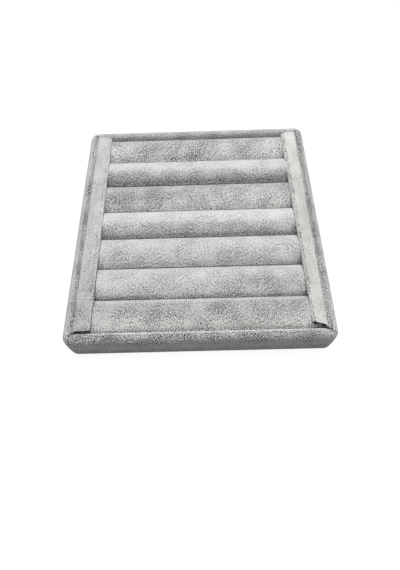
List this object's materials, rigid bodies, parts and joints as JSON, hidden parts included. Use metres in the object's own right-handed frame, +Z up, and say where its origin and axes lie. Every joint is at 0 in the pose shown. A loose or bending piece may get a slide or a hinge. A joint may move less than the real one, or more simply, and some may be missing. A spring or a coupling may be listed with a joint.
{
  "type": "ring display tray",
  "caption": "Low velvet-wrapped tray with a rounded rim and padded rolls side by side that grip rings in the slits between them, held down at the ends by two strips.",
  "frame": {"origin": "on the table under the middle of the tray", "axes": "+X to the right along the rolls, +Y to the back, +Z up; the front edge is at -Y"},
  "size_m": [0.18, 0.19, 0.0252],
  "materials": {
    "grey_velvet": "heathered grey velvet, short pile with dark flecks",
    "pale_velvet": "the same grey velvet with its pile brushed smooth and pale",
    "cushion_foam": "open-cell polyurethane foam",
    "fibreboard": "raw medium-density fibreboard",
    "grey_card": "uncoated grey card",
    "liner_felt": "dark grey pressed felt"
  },
  "bodies": {
    "root": {"underside_liner": "liner_felt", "base_board": "fibreboard", "front_rail": "fibreboard", "back_rail": "fibreboard", "left_rail": "fibreboard", "right_rail": "fibreboard", "rim_velvet": "grey_velvet", "roll_velvet_1": "grey_velvet", "roll_velvet_2": "grey_velvet", "roll_velvet_3": "grey_velvet", "roll_velvet_4": "grey_velvet", "roll_velvet_5": "grey_velvet", "roll_velvet_6": "grey_velvet", "roll_velvet_7": "grey_velvet", "roll_foam_1": "cushion_foam", "roll_foam_2": "cushion_foam", "roll_foam_3": "cushion_foam", "roll_foam_4": "cushion_foam", "roll_foam_5": "cushion_foam", "roll_foam_6": "cushion_foam", "roll_foam_7": "cushion_foam", "left_strip_velvet": "pale_velvet", "right_strip_velvet": "pale_velvet", "left_strip_card": "grey_card", "right_strip_card": "grey_card"}
  },
  "joints": []
}
